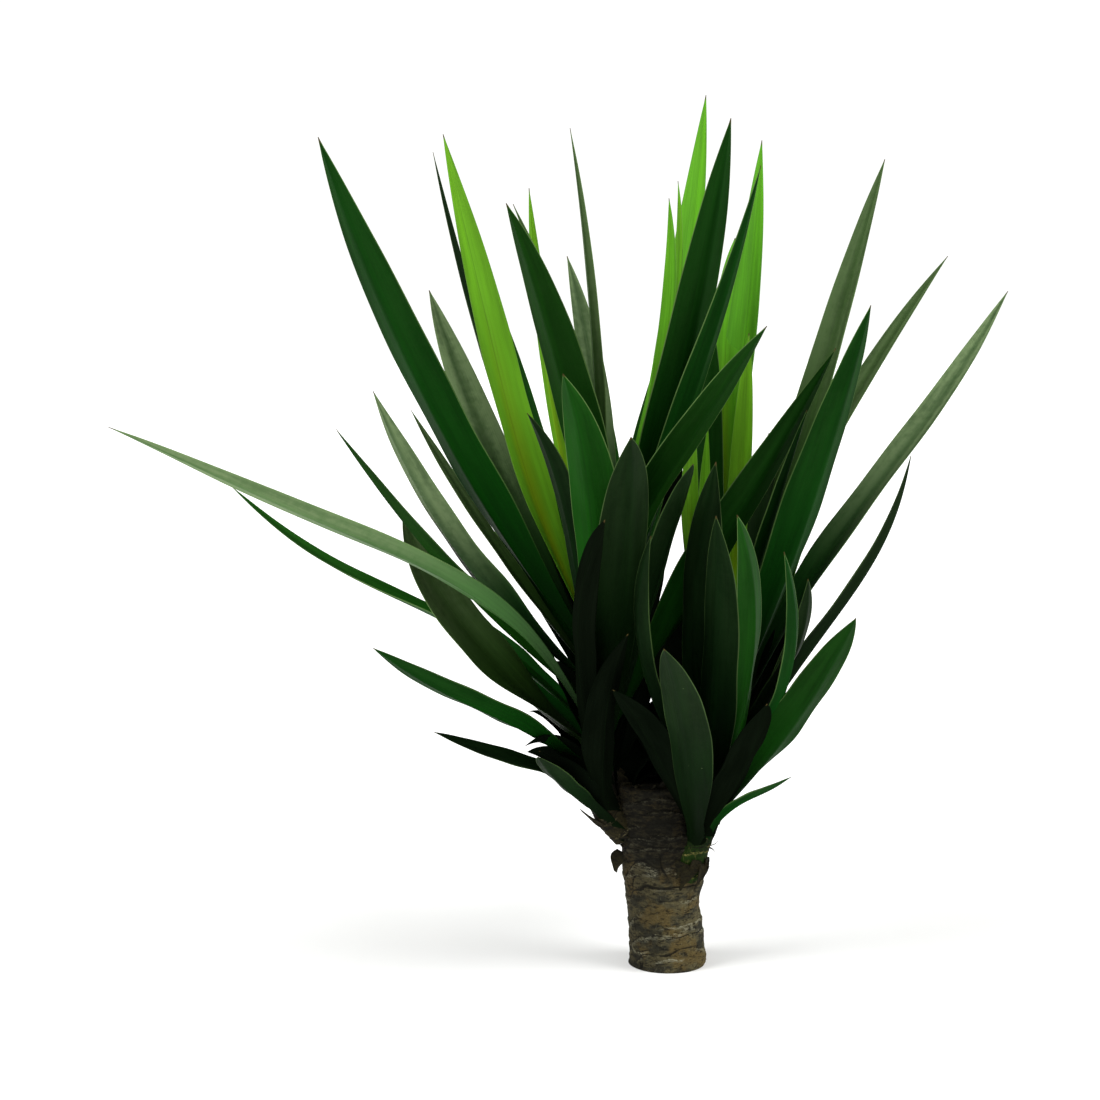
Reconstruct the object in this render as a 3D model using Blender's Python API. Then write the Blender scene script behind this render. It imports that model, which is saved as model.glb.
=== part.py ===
"""A spineless yucca: one sawn cane with two leafy heads that stand on short side stems.

Lengths are in millimetres until a mesh is made, and the foot of the cane is the origin.
Each leaf is a gutter-shaped blade. Its row says where it leaves its stem and where its middle
and its tip stand, and the functions below work out its path, its turn, its section and its root.
"""
import math

import bmesh
import bpy
import numpy as np

MM = 0.001
CLEAR = 0.3  # air kept between a leaf or a stem and what carries it

# The cane: height, lean to the left (as x), and radius, from the flared foot to the sawn top.
CANE = ((0, 0, 39.0), (14, 0, 38.0), (36, -2, 37.0), (60, -4.5, 36.2), (76, -5.5, 37.0),
        (92, -6.3, 38.8), (124, -8.8, 38.8), (156, -13, 37.7), (187, -17, 36.8))
CANE_SIDES = 24

# Each side stem: x, y, height and radius. It starts inside the cane and is cut clear of it.
STEMS = {
    "left": ((-40, -8, 136, 15.5), (-60, -10, 160, 15.5), (-69, -10, 190, 15.0),
             (-70, -8, 250, 13.0), (-69, -5, 325, 11.0), (-69, -5, 342, 10.5)),
    "right": ((12, -14, 98, 12.0), (23, -18, 120, 12.0), (37, -18, 150, 13.5),
              (47, -14, 210, 12.5), (53, -8, 274, 10.0), (53, -8, 290, 9.5)),
}
STEM_SIDES = 16
STEM_STEPS = 6  # rings to each span of a stem

# Leaves are placed as they stand seen from the front: across and up in the plane that faces the
# eye through the middle of the plant, and depth away from the eye.
SIGHT = 2000.0
SIGHT_RISE = math.radians(6)
SIGHT_AIM = np.array([-119.0, 0.0, 423.0])

ROOT_INSET = 5.0  # how far a leaf's root is let into its stem before it is cut clear
ARCH = 0.42  # share of the leaf's depth that it has gained half way along
WIDEST = 0.42  # where a blade is widest, as a share of its length
NECK = 0.30  # width at the root, as a share of the widest
TAPER = 3.0  # the higher, the further a blade keeps its width before the tip
FOLD = 0.22  # rise of the edges over the midrib, as a share of half the width
THICK = 0.01  # midrib's thickness as a share of the leaf's length
LEAF_RINGS = 14
HEART_RINGS = 11
CORE_HEIGHT = 34.0
CORE_RADIUS = 6.0

# height of the root, (across, up) half way, (across, up, depth) of the tip, widest width,
# the width that shows from the front (0: as it grows), then where they differ from the rest
# the neck, how far the blade sways to one side and back to the other, and the taper.
LEAVES = {
    "left": (
        (155, (-107, 191), (-131, 216, -90), 28, 16, 0.55),
        (171, (-66, 258), (-41, 339, -200), 40, 30),
        (181, (-156, 213), (-235, 241, -60), 24, 11, 0.60, 2),
        (196, (-49, 318), (-29, 373, 350), 44, 0),
        (199, (-88, 343), (-64, 453, -260), 34, 20),
        (202, (-190, 267), (-296, 325, -120), 36, 20, 0.44, 4),
        (212, (-47, 398), (-38, 536, -330), 56, 47),
        (222, (-154, 308), (-229, 373, 250), 44, 0),
        (224, (-9, 413), (24, 509, -230), 40, 22),
        (225, (-206, 347), (-266, 461, -14), 48, 38),
        (230, (-66, 413), (-64, 503, 400), 52, 0),
        (236, (56, 441), (167, 625, -84), 48, 40, NECK, -2, 1.7),
        (243, (-268, 375), (-438, 487, 170), 28, 8, 0.14, 12),
        (244, (-262, 416), (-561, 546, -250), 30, 18, 0.20, 12),
        (248, (-74, 445), (-106, 599, -260), 56, 46),
        (252, (-96, 438), (-142, 560, -150), 34, 22),
        (257, (-73, 503), (-109, 643, 410), 52, 0),
        (270, (-205, 388), (-333, 544, -56), 38, 12, 0.26, 2),
        (275, (-179, 483), (-274, 663, 330), 50, 0),
        (287, (-16, 480), (98, 647, -200), 46, 33, NECK, -8),
        (289, (-203, 416), (-296, 582, -100), 46, 23, 0.14),
        (290, (-139, 513), (-191, 711, 300), 46, 0),
        (297, (-181, 438), (-258, 563, 80), 20, 11),
        (305, (22, 579), (92, 808, -130), 34, 24, NECK, -3, 1.4),
        (303, (-14, 523), (21, 673, 300), 50, 0),
        (307, (-170, 501), (-240, 683, 154), 40, 36),
        (313, (-230, 558), (-351, 836, -200), 54, 37, 0.24),
        (313, (-93, 550), (-163, 770, -130), 56, 39, 0.24, 3),
        (315, (-171, 573), (-236, 821, 206), 20, 9),
        (328, (9, 583), (62, 855, -110), 50, 41, 0.24),
        (332, (-164, 581), (-226, 839, 78), 48, 34, 0.22, -3, 2.4),
        (333, (1, 602), (37, 878, 130), 46, 29, 0.24),
    ),
    "right": (
        (129, (17, 238), (-5, 324, -320), 46, 38, 0.25),
        (131, (81, 176), (122, 196, -100), 18, 7, NECK, -4),
        (138, (-14, 228), (-56, 283, -190), 40, 28),
        (146, (74, 211), (98, 269, -220), 42, 27),
        (148, (48, 313), (47, 457, -270), 44, 32),
        (156, (129, 261), (187, 355, -120), 48, 37),
        (164, (81, 323), (68, 458, -220), 38, 24),
        (166, (96, 238), (146, 288, 240), 42, 0),
        (173, (16, 238), (-4, 283, 280), 42, 0),
        (181, (-23, 305), (-18, 437, -220), 28, 11),
        (181, (76, 273), (106, 333, 320), 44, 0),
        (185, (171, 366), (242, 518, -40), 30, 12, 0.20, -7),
        (191, (29, 348), (47, 511, -170), 50, 36),
        (193, (45, 363), (46, 433, 380), 50, 0),
        (205, (117, 293), (115, 421, -171), 28, 10),
        (205, (111, 413), (166, 573, 280), 50, 0),
        (220, (119, 308), (139, 394, -131), 28, 15),
        (224, (203, 481), (339, 682, 150), 42, 20, 0.16, -8),
        (236, (58, 473), (73, 643, 340), 48, 0, 0.24),
        (240, (146, 507), (279, 717, 206), 32, 19, 0.20, -4),
        (250, (141, 477), (202, 668, -128), 58, 40, 0.26, 0, 2.3),
        (263, (146, 573), (216, 814, 20), 42, 24, 0.26, 0, 2.4),
        (276, (66, 553), (93, 833, 190), 46, 30, 0.24, -4),
    ),
}

# The leaves above, by number from 1, that are still as bright as the hearts.
BRIGHT = {"left": (31, 32), "right": (23,)}

# The young leaves in the middle of each head, which grow together from one core.
HEARTS = {
    "left": (
        (0, (-86, 553), (-156, 769, -60), 22, 14),
        (0, (-116, 573), (-140, 785, -40), 18, 15),
        (0, (-8, 590), (0, 775, 40), 26, 14),
        (0, (-72, 597), (-99, 845, -10), 18, 9),
        (0, (-70, 539), (-102, 717, 90), 30, 29),
    ),
    "right": (
        (0, (96, 433), (138, 563, -75), 26, 12),
        (0, (34, 413), (39, 548, 20), 28, 16),
        (0, (70, 470), (80, 640, 30), 26, 0),
    ),
}

COLOURS = {
    "bark": ((0.16, 0.13, 0.09), 0.9),
    "stem": ((0.13, 0.17, 0.05), 0.75),
    "leaf": ((0.035, 0.10, 0.03), 0.45),
    "young_leaf": ((0.22, 0.42, 0.08), 0.45),
}

AHEAD = np.array([0.0, math.cos(SIGHT_RISE), -math.sin(SIGHT_RISE)])
ABOVE = np.array([0.0, math.sin(SIGHT_RISE), math.cos(SIGHT_RISE)])
EYE = SIGHT_AIM - SIGHT * AHEAD


def from_sight(across, up, depth):
    """The point at this depth that the eye sees at (across, up) in its facing plane."""
    ray = AHEAD * SIGHT + ABOVE * (up - SIGHT_AIM[2])
    ray[0] += across - SIGHT_AIM[0]
    return EYE + ray * (depth - EYE[1]) / ray[1]


def to_sight(point):
    seen = point - EYE
    return SIGHT * np.array([seen[0], seen @ ABOVE]) / (seen @ AHEAD)


def ease(start, end, value):
    share = np.clip((value - start) / (end - start), 0, 1)
    return share * share * (3 - 2 * share)


def smooth_path(points, steps):
    """A Catmull-Rom path through the points."""
    points = np.array(points, float)
    ends = np.vstack([2 * points[0] - points[1], points, 2 * points[-1] - points[-2]])
    path = []
    for a, b, c, d in zip(ends, ends[1:], ends[2:], ends[3:]):
        for t in np.linspace(0, 1, steps, endpoint=False):
            path.append(0.5 * (2 * b + (c - a) * t + (2 * a - 5 * b + 4 * c - d) * t**2
                               + (3 * b - a - 3 * c + d) * t**3))
    return np.array(path + [points[-1]])


STEM_PATHS = {head: smooth_path(points, STEM_STEPS) for head, points in STEMS.items()}


def unit(vector):
    return vector / np.linalg.norm(vector, axis=-1, keepdims=True)


def leaf_path(head, row, shares):
    """Centre points, directions and the way out from the stem."""
    height, half, tip = row[0], row[1], from_sight(*row[2])
    path = STEM_PATHS[head]
    if height:
        stem = np.array([np.interp(height, path[:, 2], path[:, k]) for k in range(4)])
        turn = math.atan2(*(tip - stem[:3])[1::-1])
        outward = np.array([math.cos(turn), math.sin(turn), 0])
        root = stem[:3] + outward * (stem[3] - ROOT_INSET)
    else:
        turn = math.atan2(*(tip - path[-1, :3])[1::-1])
        outward = np.array([math.cos(turn), math.sin(turn), 0])
        root = path[-1, :3] + (0, 0, 11) + outward
    middle = from_sight(*half, root[1] + ARCH * (tip[1] - root[1]))
    pull = 2 * middle - (root + tip) / 2
    t = shares[:, None]
    sway = (row[6] if len(row) > 6 else 0) * unit(np.cross(AHEAD, tip - root))
    centres = ((1 - t) ** 2 * root + 2 * t * (1 - t) * pull + t**2 * tip
               + np.sin(2 * math.pi * t) * sway)
    along = unit(2 * (1 - t) * (pull - root) + 2 * t * (tip - pull)
                 + 2 * math.pi * np.cos(2 * math.pi * t) * sway)
    return centres, along, outward


def leaf_frames(head, row, shares):
    """Centre, direction, side and upper face at each share of the leaf's length."""
    centres, along, outward = leaf_path(head, row, shares)
    chord = unit(centres[-1] - centres[0])
    face = np.cross(chord, np.cross((0, 0, 1.0), outward))
    if face[2] < 0:
        face = -face
    face = unit(face - (along @ face)[:, None] * along)
    side = np.cross(along, face)
    roll = 0.0
    if row[4]:
        k = int(np.argmin(abs(shares - 0.45)))
        course = unit(to_sight(centres[k + 1]) - to_sight(centres[k - 1]))
        across = ABOVE * course[0] - np.array([course[1], 0, 0])
        plain, turned = side[k] @ across, face[k] @ across
        lead = math.atan2(turned, plain)
        swing = math.acos(min(row[4] / row[3] / math.hypot(plain, turned), 1))
        turns = (lead + swing, lead - swing, lead + math.pi + swing, lead + math.pi - swing)
        roll = min(((a + math.pi) % (2 * math.pi) - math.pi for a in turns), key=abs)
    angle = (roll * ease(0.0, 0.4, shares))[:, None]
    return (centres, along, side * np.cos(angle) + face * np.sin(angle),
            face * np.cos(angle) - side * np.sin(angle))


def leaf_rings(head, row, count):
    """Six-cornered gutter sections from the root to the tip."""
    shares = np.linspace(0, 1, count)
    centres, _, side, face = leaf_frames(head, row, shares)
    length = np.linalg.norm(np.diff(centres, axis=0), axis=1).sum()
    neck = row[5] if len(row) > 5 else NECK
    below = neck + (1 - neck) * np.sin(math.pi / 2 * np.clip(shares / WIDEST, 0, 1)) ** 1.4
    taper = row[7] if len(row) > 7 else TAPER
    above = 1 - np.clip((shares - WIDEST) / (1 - WIDEST), 0, 1) ** taper
    half = row[3] / 2 * np.where(shares < WIDEST, below, above)
    half = np.maximum(half, 0.8)[:, None]
    thick = max(length * THICK, 2.0) * (0.62 + 0.38 * ease(0, 0.35, shares))
    thick = (thick * (1 - 0.75 * ease(0.7, 1.0, shares)))[:, None]
    thick = np.minimum(thick, 0.8 * half + 0.6)
    lift, edge = FOLD * half, 0.22 * thick
    return np.stack([
        centres - side * half + face * (lift + edge),
        centres + face * thick / 2,
        centres + side * half + face * (lift + edge),
        centres + side * half + face * (lift - edge),
        centres - face * thick / 2,
        centres - side * half + face * (lift - edge),
    ], axis=1)


def clear_scene():
    for obj in list(bpy.data.objects):
        bpy.data.objects.remove(obj)


def material(name):
    colour, roughness = COLOURS[name]
    made = bpy.data.materials.new(name)
    made.use_nodes = True
    shader = made.node_tree.nodes["Principled BSDF"]
    shader.inputs["Base Color"].default_value = (*colour, 1)
    shader.inputs["Roughness"].default_value = roughness
    shader.inputs["Metallic"].default_value = 0
    return made


def new_collection(name):
    made = bpy.data.collections.new(name)
    bpy.context.scene.collection.children.link(made)
    return made


def mesh_object(name, points, faces, collection, slot=None, smooth=False):
    mesh = bpy.data.meshes.new(name)
    mesh.from_pydata([tuple(p) for p in np.asarray(points) * MM], [], faces)
    mesh.validate()
    if smooth:
        mesh.shade_smooth()
    obj = bpy.data.objects.new(name, mesh)
    collection.objects.link(obj)
    if slot:
        mesh.materials.append(material(slot))
    return obj


def blade(name, head, row, count, collection, slot):
    """A blade is a loft: its width, its thickness and its turn change all the way along."""
    rings = leaf_rings(head, row, count)
    sides = rings.shape[1]
    faces = []
    for ring in range(count - 1):
        for k in range(sides):
            a, b = ring * sides + k, ring * sides + (k + 1) % sides
            faces += [(a, b, b + sides), (a, b + sides, a + sides)]
    last = (count - 1) * sides
    for a, b, c in ((0, 1, 4), (0, 4, 5), (1, 2, 3), (1, 3, 4)):
        faces += [(c, b, a), (last + a, last + b, last + c)]
    return mesh_object(name, rings.reshape(-1, 3), faces, collection, slot)


def limb(name, path, sides, grow, collection, slot=None):
    """A round limb whose rings stand square to its path, from (x, y, height, radius) rows."""
    shape = bmesh.new()
    angles = np.linspace(0, 2 * math.pi, sides, endpoint=False)
    rings = []
    for i, (*centre, radius) in enumerate(path):
        along = unit(path[min(i + 1, len(path) - 1)][:3] - path[max(i - 1, 0)][:3])
        first = unit(np.cross((0, 1.0, 0), along))
        second = np.cross(along, first)
        end = along * grow * ((i == len(path) - 1) - (i == 0))
        rings.append([shape.verts.new(tuple((np.array(centre) + end + (radius + grow)
                      * (math.cos(a) * first + math.sin(a) * second)) * MM)) for a in angles])
    for low, high in zip(rings, rings[1:]):
        for k in range(sides):
            shape.faces.new((low[k], low[k - sides + 1], high[k - sides + 1], high[k]))
    shape.faces.new(rings[0][::-1])
    shape.faces.new(rings[-1])
    bmesh.ops.recalc_face_normals(shape, faces=shape.faces)
    for face in shape.faces:
        face.smooth = len(face.verts) == 4
    mesh = bpy.data.meshes.new(name)
    shape.to_mesh(mesh)
    shape.free()
    obj = bpy.data.objects.new(name, mesh)
    collection.objects.link(obj)
    if slot:
        mesh.materials.append(material(slot))
    return obj


def cane_path():
    points = smooth_path([(x, 0, height, radius) for height, x, radius in CANE], 2)
    points[0, :2] = points[1, :2] = 0
    return points


def cut(obj, cutter):
    step = obj.modifiers.new("clear_of_" + cutter.name, "BOOLEAN")
    step.operation = "DIFFERENCE"
    step.solver = "EXACT"
    step.object = cutter


def heart(head, plant):
    """The young leaves and the core that they stand on, as one solid."""
    x, y, height, _ = STEM_PATHS[head][-1]
    bpy.ops.mesh.primitive_cone_add(
        vertices=16, radius1=CORE_RADIUS * MM, radius2=CORE_RADIUS * MM * 0.4,
        depth=CORE_HEIGHT * MM,
        location=(x * MM, y * MM, (height + 2 * CLEAR + CORE_HEIGHT / 2) * MM))
    core = bpy.context.object
    core.name = core.data.name = head + "_heart"
    core.data.materials.append(material("young_leaf"))
    for owner in list(core.users_collection):
        owner.objects.unlink(core)
    plant.objects.link(core)
    young = new_collection(head + "_young_leaves")
    for number, row in enumerate(HEARTS[head]):
        blade(f"{head}_young_{number}", head, row, HEART_RINGS, young, "young_leaf")
    join = core.modifiers.new("join_young_leaves", "BOOLEAN")
    join.operation = "UNION"
    join.operand_type = "COLLECTION"
    join.collection = young
    join.solver = "EXACT"
    bpy.context.view_layer.update()
    joined = bpy.data.meshes.new_from_object(
        core.evaluated_get(bpy.context.evaluated_depsgraph_get()))
    core.modifiers.clear()
    core.data = joined
    core.data.name = core.name
    core.data.materials.clear()
    core.data.materials.append(material("young_leaf"))
    for obj in list(young.objects):
        bpy.data.objects.remove(obj)
    bpy.data.collections.remove(young)


def main():
    clear_scene()
    plant = new_collection("spineless_yucca")
    cutters = new_collection("cutters")
    cutters.hide_render = True

    limb("trunk", cane_path(), CANE_SIDES, 0, plant, "bark")
    around_cane = limb("around_trunk", cane_path(), CANE_SIDES, CLEAR, cutters)
    around = [around_cane]
    for head, path in STEM_PATHS.items():
        stem = limb(head + "_stem", path, STEM_SIDES, 0, plant, "stem")
        cut(stem, around_cane)
        around_stem = limb(f"around_{head}_stem", path, STEM_SIDES, CLEAR, cutters)
        around.append(around_stem)
        for number, row in enumerate(LEAVES[head], 1):
            slot = "young_leaf" if number in BRIGHT[head] else "leaf"
            leaf = blade(f"{head}_leaf_{number:02d}", head, row, LEAF_RINGS, plant, slot)
            cut(leaf, around_stem)
        heart(head, plant)
    for cutter in around:
        cutter.hide_render = True
        cutter.display_type = "WIRE"


main()
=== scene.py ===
"""Dresses a spineless yucca: fine leaf blades, ringed bark, dry scales and a plain studio.

Laid out as a Blender add-on and run as a script. Lengths are in millimetres until a mesh is made,
and the foot of the cane is the origin.
"""

import itertools
import math

import bpy
import numpy as np
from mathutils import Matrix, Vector


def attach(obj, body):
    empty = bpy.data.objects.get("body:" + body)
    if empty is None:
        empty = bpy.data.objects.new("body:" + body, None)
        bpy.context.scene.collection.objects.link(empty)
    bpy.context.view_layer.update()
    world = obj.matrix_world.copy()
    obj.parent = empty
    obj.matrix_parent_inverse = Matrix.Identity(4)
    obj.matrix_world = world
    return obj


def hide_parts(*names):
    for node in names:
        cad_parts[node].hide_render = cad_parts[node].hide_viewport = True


bl_info = {
    "name": "Spineless Yucca",
    "version": (1, 0, 0),
    "blender": (4, 5, 0),
    "location": "3D View > Sidebar > Yucca",
    "description": "Dresses a cane yucca with fine leaves, ringed bark and a studio",
    "category": "Object",
}

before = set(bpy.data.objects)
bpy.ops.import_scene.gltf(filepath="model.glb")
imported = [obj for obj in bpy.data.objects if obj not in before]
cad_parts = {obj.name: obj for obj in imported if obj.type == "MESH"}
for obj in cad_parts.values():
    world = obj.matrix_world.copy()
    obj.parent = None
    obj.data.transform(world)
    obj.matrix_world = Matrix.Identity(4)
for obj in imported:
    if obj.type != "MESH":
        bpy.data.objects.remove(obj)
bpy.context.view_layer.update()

MM = 0.001

# The cane: height, lean to the left (as x), and radius, from the flared foot to the sawn top.
CANE = ((0, 0, 39.0), (14, 0, 38.0), (36, -2, 37.0), (60, -4.5, 36.2), (76, -5.5, 37.0),
        (92, -6.3, 38.8), (124, -8.8, 38.8), (156, -13, 37.7), (187, -17, 36.8))

# Each side stem: x, y, height and radius.
STEMS = {
    "left": ((-40, -8, 136, 15.5), (-60, -10, 160, 15.5), (-69, -10, 190, 15.0),
             (-70, -8, 250, 13.0), (-69, -5, 325, 11.0), (-69, -5, 342, 10.5)),
    "right": ((12, -14, 98, 12.0), (23, -18, 120, 12.0), (37, -18, 150, 13.5),
              (47, -14, 210, 12.5), (53, -8, 274, 10.0), (53, -8, 290, 9.5)),
}

# Leaves are placed as they stand seen from the front: across and up in the plane that faces the
# eye through the middle of the plant, and depth away from the eye.
SIGHT = 2000.0
SIGHT_RISE = math.radians(6)
SIGHT_AIM = np.array([-119.0, 0.0, 423.0])
FRAME_SIDE = 1100.0  # what the square view takes in at that distance

ROOT_INSET = 5.0
ARCH = 0.42  # share of the leaf's depth that it has gained half way along
CANE_RADIUS = 38.0  # usual radii, for the size of the bark's relief
STEM_RADIUS = 14.0
STEM_SCARS = 6.0  # distance between the rings of a side stem
WIDEST = 0.42  # where a blade is widest, as a share of its length
NECK = 0.30  # width at the root, as a share of the widest
TAPER = 3.0  # the higher, the further a blade keeps its width before the tip
HEART_SEED, INNER_SEED = 80, 100  # they tell the leaves' waves and tints apart
HEART_LIFT = 11.0  # where young leaves start, over the end of their stem

# height of the root, (across, up) half way, (across, up, depth) of the tip, widest width,
# the width that shows from the front (0: as it grows), the finish, then where they differ from
# the rest the neck, how far the blade sways to one side and back to the other, and the taper.
LEAVES = {
    "left": (
        (155, (-107, 191), (-131, 216, -90), 28, 16, "shade", 0.55),
        (171, (-66, 258), (-41, 339, -200), 40, 30, "dim"),
        (181, (-156, 213), (-235, 241, -60), 24, 11, "shade", 0.60, 2),
        (196, (-49, 318), (-29, 373, 350), 44, 0, "shade"),
        (199, (-88, 343), (-64, 453, -260), 34, 20, "dim"),
        (202, (-190, 267), (-296, 325, -120), 36, 20, "deep", 0.44, 4),
        (212, (-47, 398), (-38, 536, -330), 56, 47, "shade"),
        (222, (-154, 308), (-229, 373, 250), 44, 0, "deep"),
        (224, (-9, 413), (24, 509, -230), 40, 22, "shade"),
        (225, (-206, 347), (-266, 461, -14), 48, 38, "olive"),
        (230, (-66, 413), (-64, 503, 400), 52, 0, "deep"),
        (236, (56, 441), (167, 625, -84), 48, 40, "deep", NECK, -2, 1.7),
        (243, (-268, 375), (-438, 487, 170), 28, 8, "green", 0.14, 12),
        (244, (-262, 416), (-561, 546, -250), 30, 18, "pale", 0.20, 12),
        (248, (-74, 445), (-106, 599, -260), 56, 46, "green"),
        (252, (-96, 438), (-142, 560, -150), 34, 22, "shade"),
        (257, (-73, 503), (-109, 643, 410), 52, 0, "deep"),
        (270, (-205, 388), (-333, 544, -56), 38, 12, "deep", 0.26, 2),
        (275, (-179, 483), (-274, 663, 330), 50, 0, "deep"),
        (287, (-16, 480), (98, 647, -200), 46, 33, "deep", NECK, -8),
        (289, (-203, 416), (-296, 582, -100), 46, 23, "bloom", 0.14),
        (290, (-139, 513), (-191, 711, 300), 46, 0, "deep"),
        (297, (-181, 438), (-258, 563, 80), 20, 11, "olive"),
        (305, (22, 579), (92, 808, -130), 34, 24, "deep", NECK, -3, 1.4),
        (303, (-14, 523), (21, 673, 300), 50, 0, "deep"),
        (307, (-170, 501), (-240, 683, 154), 40, 36, "bloom"),
        (313, (-230, 558), (-351, 836, -200), 54, 37, "deep", 0.24),
        (313, (-93, 550), (-163, 770, -130), 56, 39, "deep", 0.24, 3),
        (315, (-171, 573), (-236, 821, 206), 20, 9, "shade"),
        (328, (9, 583), (62, 855, -110), 50, 41, "deep", 0.24),
        (332, (-164, 581), (-226, 839, 78), 48, 34, "fresh", 0.22, -3, 2.4),
        (333, (1, 602), (37, 878, 130), 46, 29, "fresh", 0.24),
    ),
    "right": (
        (129, (17, 238), (-5, 324, -320), 46, 38, "shade", 0.25),
        (131, (81, 176), (122, 196, -100), 18, 7, "deep", NECK, -4),
        (138, (-14, 228), (-56, 283, -190), 40, 28, "dim"),
        (146, (74, 211), (98, 269, -220), 42, 27, "dim"),
        (148, (48, 313), (47, 457, -270), 44, 32, "shade"),
        (156, (129, 261), (187, 355, -120), 48, 37, "deep"),
        (164, (81, 323), (68, 458, -220), 38, 24, "green"),
        (166, (96, 238), (146, 288, 240), 42, 0, "deep"),
        (173, (16, 238), (-4, 283, 280), 42, 0, "shade"),
        (181, (-23, 305), (-18, 437, -220), 28, 11, "shade"),
        (181, (76, 273), (106, 333, 320), 44, 0, "deep"),
        (185, (171, 366), (242, 518, -40), 30, 12, "shade", 0.20, -7),
        (191, (29, 348), (47, 511, -170), 50, 36, "shade"),
        (193, (45, 363), (46, 433, 380), 50, 0, "deep"),
        (205, (117, 293), (115, 421, -171), 28, 10, "deep"),
        (205, (111, 413), (166, 573, 280), 50, 0, "deep"),
        (220, (119, 308), (139, 394, -131), 28, 15, "shade"),
        (224, (203, 481), (339, 682, 150), 42, 20, "bloom", 0.16, -8),
        (236, (58, 473), (73, 643, 340), 48, 0, "deep", 0.24),
        (240, (146, 507), (279, 717, 206), 32, 19, "olive", 0.20, -4),
        (250, (141, 477), (202, 668, -128), 58, 40, "deep", 0.26, 0, 2.3),
        (263, (146, 573), (216, 814, 20), 42, 24, "olive", 0.26, 0, 2.4),
        (276, (66, 553), (93, 833, 190), 46, 30, "fresh", 0.24, -4),
    ),
}

# The young leaves in the middle of each head.
HEARTS = {
    "left": (
        (0, (-86, 553), (-156, 769, -60), 22, 14, "olive"),
        (0, (-116, 573), (-140, 785, -40), 18, 15, "fresh"),
        (0, (-8, 590), (0, 775, 40), 26, 14, "fresh"),
        (0, (-72, 597), (-99, 845, -10), 18, 9, "olive"),
        (0, (-70, 539), (-102, 717, 90), 30, 29, "bloom"),
    ),
    "right": (
        (0, (96, 433), (138, 563, -75), 26, 12, "deep"),
        (0, (34, 413), (39, 548, 20), 28, 16, "fresh"),
        (0, (70, 470), (80, 640, 30), 26, 0, "fresh"),
    ),
}

# Leaves deep inside each head, most of them short and old. They close the gaps between the rest.
# Most of them are coloured Dim, a near-black green: painted shade.
INNER = {
    "left": (
        (152, (-48, 205), (-32, 248, 60), 34, 0, "dim"),
        (156, (-36, 206), (-4, 240, 30), 40, 0, "dim"),
        (160, (-34, 196), (8, 206, 40), 42, 0, "dim"),
        (165, (-36, 222), (-8, 278, 90), 38, 0, "dim"),
        (185, (-40, 258), (-14, 332, 120), 40, 0, "dim"),
        (215, (-36, 305), (2, 378, 140), 40, 0, "dim"),
        (240, (-32, 345), (-6, 425, 150), 34, 0, "dim"),
        (222, (-98, 286), (-117, 312, 30), 34, 24, "dim"),
        (255, (-14, 425), (13, 508, 120), 22, 0, "dim"),
        (322, (-2, 600), (9, 792, 70), 14, 0, "fresh", 0.5),
        (142, (-82, 178), (-118, 214, -20), 32, 0, "dim"),
        (148, (-90, 192), (-130, 222, -50), 32, 20, "dim"),
        (158, (-104, 222), (-144, 227, -40), 30, 20, "dim"),
        (166, (-108, 210), (-142, 221, 10), 26, 16, "dim"),
        (176, (-104, 240), (-140, 262, 40), 30, 0, "dim"),
    ),
    "right": (
        (125, (10, 200), (-14, 242, 60), 36, 0, "dim"),
        (128, (-8, 196), (-28, 262, 110), 48, 0, "dim"),
        (132, (-2, 204), (-38, 246, 40), 42, 0, "dim"),
        (140, (8, 222), (-28, 266, 90), 38, 0, "dim"),
        (160, (12, 256), (-14, 322, 110), 40, 0, "dim"),
        (176, (6, 300), (-16, 366, 100), 46, 0, "dim"),
        (190, (18, 308), (0, 384, 140), 38, 0, "dim"),
        (262, (38, 470), (46, 640, 110), 34, 0, "deep", 0.5),
        (255, (22, 440), (27, 540, 60), 20, 0, "fresh", 0.6),
        (270, (54, 560), (66, 735, 200), 34, 0, "fresh"),
        (245, (86, 425), (100, 540, 150), 36, 0, "shade"),
        (170, (102, 262), (120, 338, -50), 32, 22, "shade"),
        (196, (86, 316), (98, 362, 60), 36, 0, "dim"),
        (200, (103, 312), (117, 350, 60), 26, 0, "dim"),
    ),
}

# What each finish of a leaf is like: how much grey wax and painted sheen it carries, how strongly
# its root darkens in painted shade, how much it yellows along the midrib, how pale its margins are,
# and how much it shines.
FINISHES = {
    "dim": (0.0, 0.6, 0.0, 0.0, 0.0),
    "shade": (0.03, 0.80, 0.0, 0.35, 0.015),
    "deep": (0.03, 0.78, 0.0, 0.75, 0.015),
    "green": (0.03, 0.70, 0.0, 0.85, 0.02),
    "olive": (0.35, 0.75, 0.0, 0.7, 0.04),
    "bloom": (0.90, 0.80, 0.0, 0.7, 0.07),
    "pale": (1.0, 0.97, 0.0, 0.6, 0.10),
    "fresh": (0.0, 0.0, 0.9, 0.5, 0.05),
}

AHEAD = np.array([0.0, math.cos(SIGHT_RISE), -math.sin(SIGHT_RISE)])
ABOVE = np.array([0.0, math.sin(SIGHT_RISE), math.cos(SIGHT_RISE)])
EYE = SIGHT_AIM - SIGHT * AHEAD


def linear(red, green, blue):
    """A display colour from 0 to 255 as Blender's linear one."""
    shares = np.array([red, green, blue]) / 255
    return tuple(np.where(shares <= 0.04045, shares / 12.92, ((shares + 0.055) / 1.055) ** 2.4))


# ---------------------------------------------------------------- settings

def colour_property(name, description, red, green, blue):
    return bpy.props.FloatVectorProperty(name=name, description=description, subtype="COLOR",
                                         size=3, min=0, max=1, default=linear(red, green, blue))


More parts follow.
